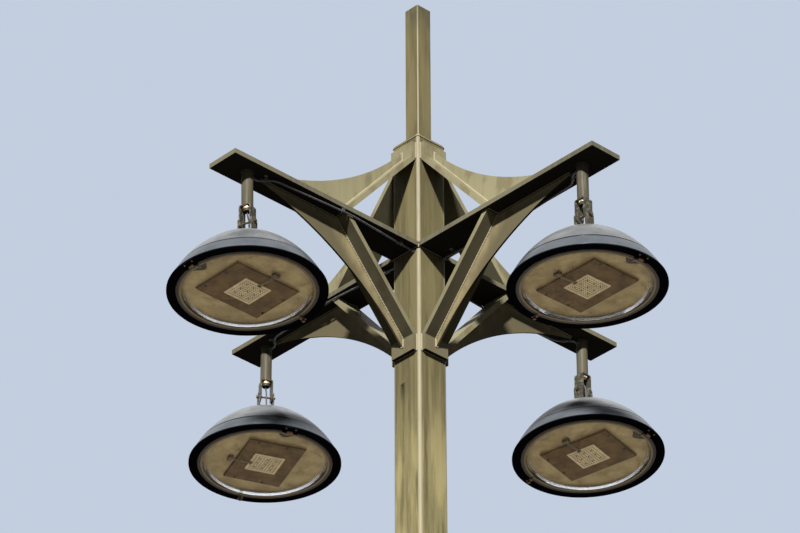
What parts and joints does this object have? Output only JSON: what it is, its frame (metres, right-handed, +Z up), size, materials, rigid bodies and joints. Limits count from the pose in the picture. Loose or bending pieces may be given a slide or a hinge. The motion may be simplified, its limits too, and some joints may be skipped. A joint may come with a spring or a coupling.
{
  "type": "street light",
  "caption": "Tall square-mast street light with arms of bent bar and curved web plate on each side, each carrying a swivelling dome lamp with a hinged glass cover.",
  "frame": {"origin": "centre of the base flange's underside, on the mast's axis", "axes": "+Z up along the mast; the arms run along +X (east), +Y (north), -X (west) and -Y (south)"},
  "size_m": [2.3732, 2.3769, 12.185],
  "materials": {
    "painted_steel": "olive bronze paint, weathered, with rain streaks and rubbed edges",
    "hanger_steel": "dark grey paint, semi-matt",
    "zinc_steel": "dull zinc plating, sun-faded",
    "dome_paint": "spun aluminium in blue-grey paint with fine spinning lines, black on the turned-in rim",
    "tray_metal": "pressed sheet, tan-brown, dusty",
    "board": "cream light board with rows of lenses",
    "ring_metal": "brown painted pressed ring",
    "glass": "clear toughened glass, slightly dusty",
    "cable_rubber": "black cable sheath",
    "clip_plastic": "black plastic"
  },
  "bodies": {
    "mast_assembly": {"mast": "painted_steel", "mast_cap": "painted_steel", "top_post": "painted_steel", "post_cap": "painted_steel", "base_flange": "painted_steel", "base_gussets": "painted_steel", "service_door": "painted_steel", "east_plate": "painted_steel", "east_bars": "painted_steel", "east_webs": "painted_steel", "north_plate": "painted_steel", "north_bars": "painted_steel", "north_webs": "painted_steel", "west_plate": "painted_steel", "west_bars": "painted_steel", "west_webs": "painted_steel", "south_plate": "painted_steel", "south_bars": "painted_steel", "south_webs": "painted_steel", "feed_cables": "cable_rubber", "cable_clips": "clip_plastic", "cable_glands": "clip_plastic", "drop_tubes": "painted_steel", "saddles": "hanger_steel", "lock_nuts": "zinc_steel", "pivot_bolts": "zinc_steel"},
    "east_lamp": {"east_yoke": "hanger_steel", "east_lead": "cable_rubber", "east_dome": "dome_paint", "east_tray": "tray_metal", "east_light_board": "board", "east_hinge": "zinc_steel"},
    "east_cover": {"east_cover_ring": "ring_metal", "east_cover_glass": "glass"},
    "north_lamp": {"north_yoke": "hanger_steel", "north_lead": "cable_rubber", "north_dome": "dome_paint", "north_tray": "tray_metal", "north_light_board": "board", "north_hinge": "zinc_steel"},
    "north_cover": {"north_cover_ring": "ring_metal", "north_cover_glass": "glass"},
    "west_lamp": {"west_yoke": "hanger_steel", "west_lead": "cable_rubber", "west_dome": "dome_paint", "west_tray": "tray_metal", "west_light_board": "board", "west_hinge": "zinc_steel"},
    "west_cover": {"west_cover_ring": "ring_metal", "west_cover_glass": "glass"},
    "south_lamp": {"south_yoke": "hanger_steel", "south_lead": "cable_rubber", "south_dome": "dome_paint", "south_tray": "tray_metal", "south_light_board": "board", "south_hinge": "zinc_steel"},
    "south_cover": {"south_cover_ring": "ring_metal", "south_cover_glass": "glass"}
  },
  "joints": [
    {"name": "east_lamp_swivel", "type": "hinge", "parent": "mast_assembly", "child": "east_lamp", "pos_m": [0.888, 0, 10.773], "axis": [-1, 0, 0], "range_deg": [-8.3, 11.7]},
    {"name": "east_cover_hinge", "type": "hinge", "parent": "east_lamp", "child": "east_cover", "pos_m": [1.16, 0.00932, 10.45914], "axis": [0, -0.9996, -0.0297], "range_deg": [0, 90]},
    {"name": "north_lamp_swivel", "type": "hinge", "parent": "mast_assembly", "child": "north_lamp", "pos_m": [0, 0.888, 10.773], "axis": [-0.0523, 0.9986, 0], "range_deg": [-6.6, 13.4]},
    {"name": "north_cover_hinge", "type": "hinge", "parent": "north_lamp", "child": "north_cover", "pos_m": [0.28315, 0.95014, 10.47544], "axis": [0.2246, -0.9744, 0.0103], "range_deg": [0, 90]},
    {"name": "west_lamp_swivel", "type": "hinge", "parent": "mast_assembly", "child": "west_lamp", "pos_m": [-0.888, 0, 10.773], "axis": [0.5, 0.866, 0], "range_deg": [-9.4, 10.6]},
    {"name": "west_cover_hinge", "type": "hinge", "parent": "west_lamp", "child": "west_cover", "pos_m": [-0.63123, -0.09911, 10.46183], "axis": [-0.3584, -0.9336, 0.0016], "range_deg": [0, 90]},
    {"name": "south_lamp_swivel", "type": "hinge", "parent": "mast_assembly", "child": "south_lamp", "pos_m": [0.00555, -0.888, 10.77307], "axis": [-0.9394, -0.342, -0.023], "range_deg": [-10, 10]},
    {"name": "south_cover_hinge", "type": "hinge", "parent": "south_lamp", "child": "south_cover", "pos_m": [0.01322, -1.16, 10.45916], "axis": [-0.9997, 0, -0.0244], "range_deg": [0, 90]}
  ]
}
